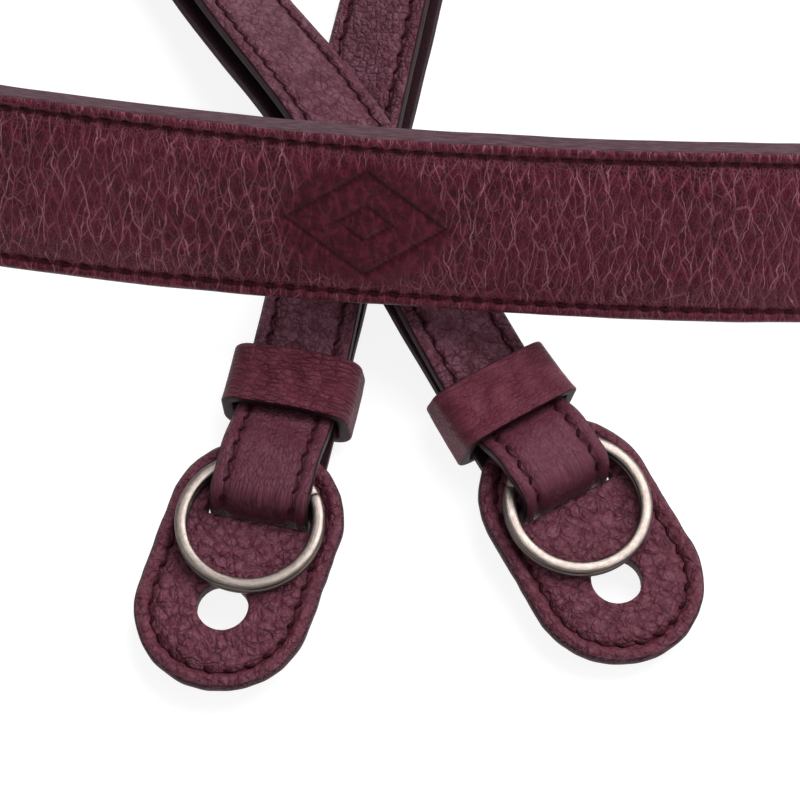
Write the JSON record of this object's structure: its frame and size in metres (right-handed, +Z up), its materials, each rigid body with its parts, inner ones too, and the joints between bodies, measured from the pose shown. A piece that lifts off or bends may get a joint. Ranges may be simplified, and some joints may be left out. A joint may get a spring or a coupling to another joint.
{
  "type": "camera neck strap",
  "caption": "Padded leather neck strap for a camera, lying folded over itself, with a split ring and a leather rubbing tab at both ends and a keeper loop on each narrow strap.",
  "frame": {"origin": "middle of the lying strap's bounding box, on the surface it lies on", "axes": "+Z up from the surface, +X from the left ring's side towards the right, +Y from the rings towards the padded band"},
  "size_m": [0.324, 0.198, 0.0326],
  "materials": {
    "pad_leather": "grained, satin",
    "strap_leather": "grained, satin",
    "keeper_leather": "smooth, satin",
    "tab_leather": "grained, satin",
    "nickel": "satin nickel plate"
  },
  "bodies": {
    "root": {"neck_pad": "pad_leather", "left_strap": "strap_leather", "right_strap": "strap_leather", "left_keeper": "keeper_leather", "right_keeper": "keeper_leather", "left_tab": "tab_leather", "right_tab": "tab_leather", "left_ring": "nickel", "right_ring": "nickel"}
  },
  "joints": []
}
